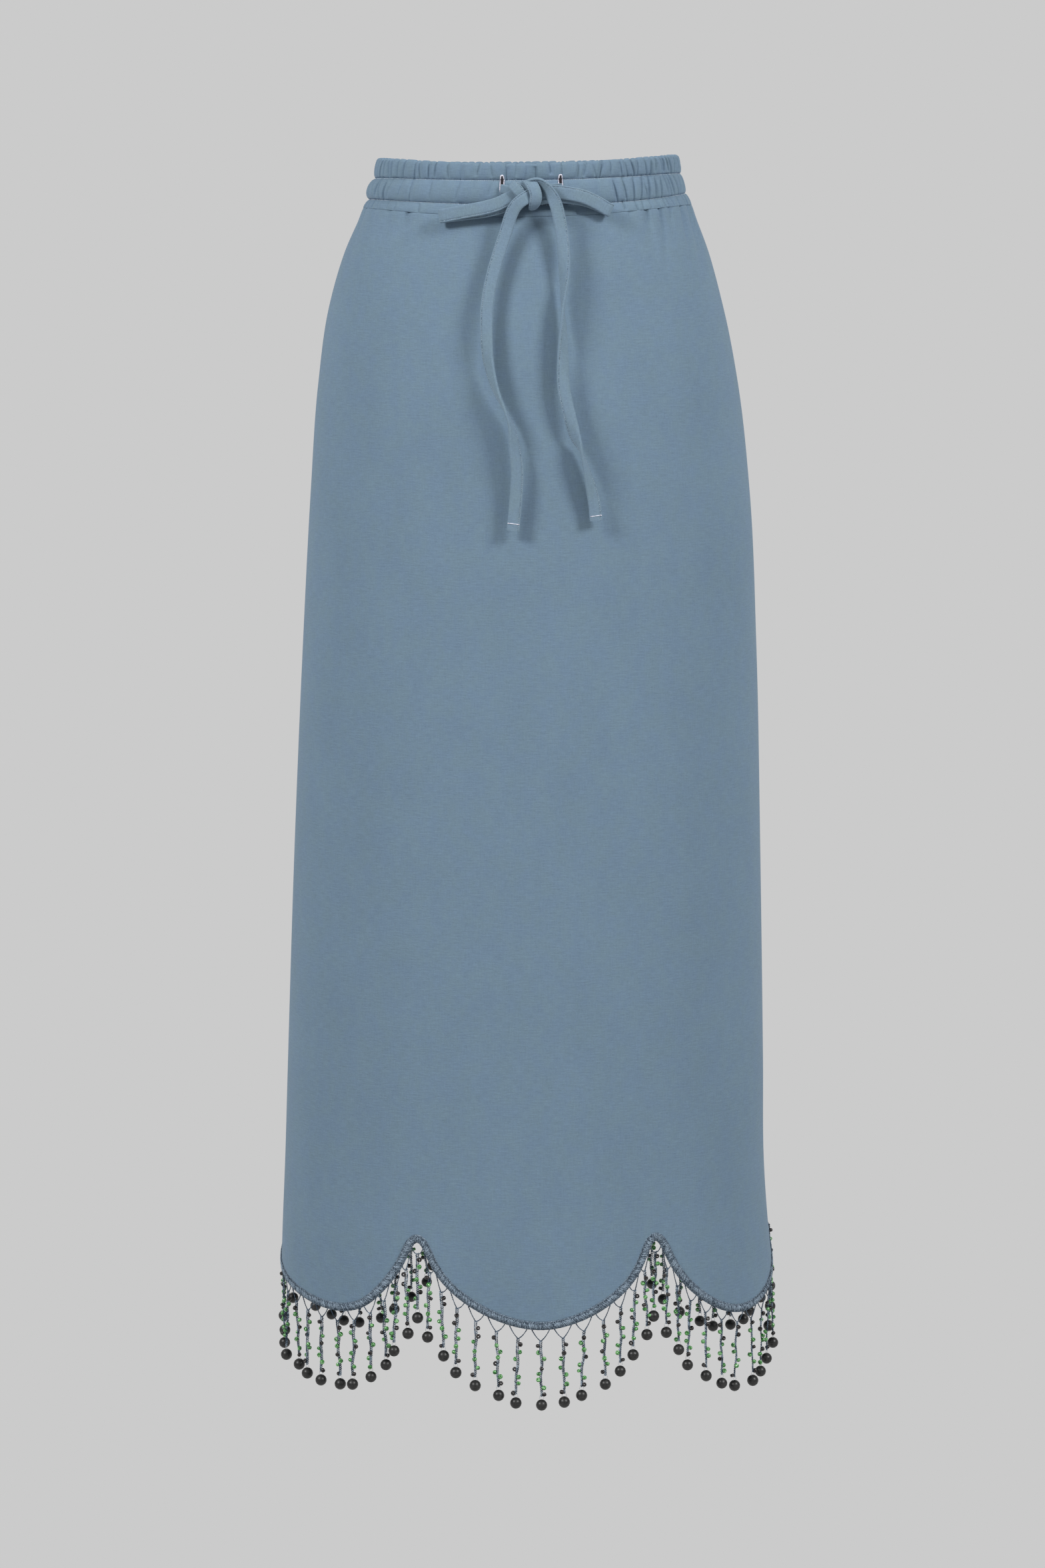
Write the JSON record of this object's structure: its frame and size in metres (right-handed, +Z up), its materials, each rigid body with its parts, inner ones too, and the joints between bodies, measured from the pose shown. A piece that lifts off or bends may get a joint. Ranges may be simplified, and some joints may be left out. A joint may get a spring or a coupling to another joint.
{
  "type": "beaded skirt",
  "caption": "Long straight jersey skirt with a gathered drawstring waistband, a scalloped hem and a beaded fringe, held in its worn shape.",
  "frame": {"origin": "centre of the waist opening, half way down the waistband, where the wearer's waist holds the skirt", "axes": "+Z up the body, -Y out of the front of the skirt, +X to the right of someone who looks at the front"},
  "size_m": [0.452, 0.2831, 1.0933],
  "materials": {
    "jersey": "soft heathered cotton jersey, blue grey, with fine slubs across it",
    "tape": "flat tape of the same jersey, folded and stitched along one edge",
    "fringe": "crocheted melange thread, dark and pale blue",
    "black_bead": "matte black",
    "green_bead": "clear green with a silvered hole"
  },
  "bodies": {
    "root": {"front_panel": "jersey", "back_panel": "jersey", "waistband": "jersey", "fringe_front": "fringe", "fringe_back": "fringe", "drawstring_knot": "tape", "drawstring_lead_left": "tape", "drawstring_lead_right": "tape", "drawstring_loop_left": "tape", "drawstring_loop_right": "tape", "drawstring_tail_left": "tape", "drawstring_tail_right": "tape"}
  },
  "joints": []
}
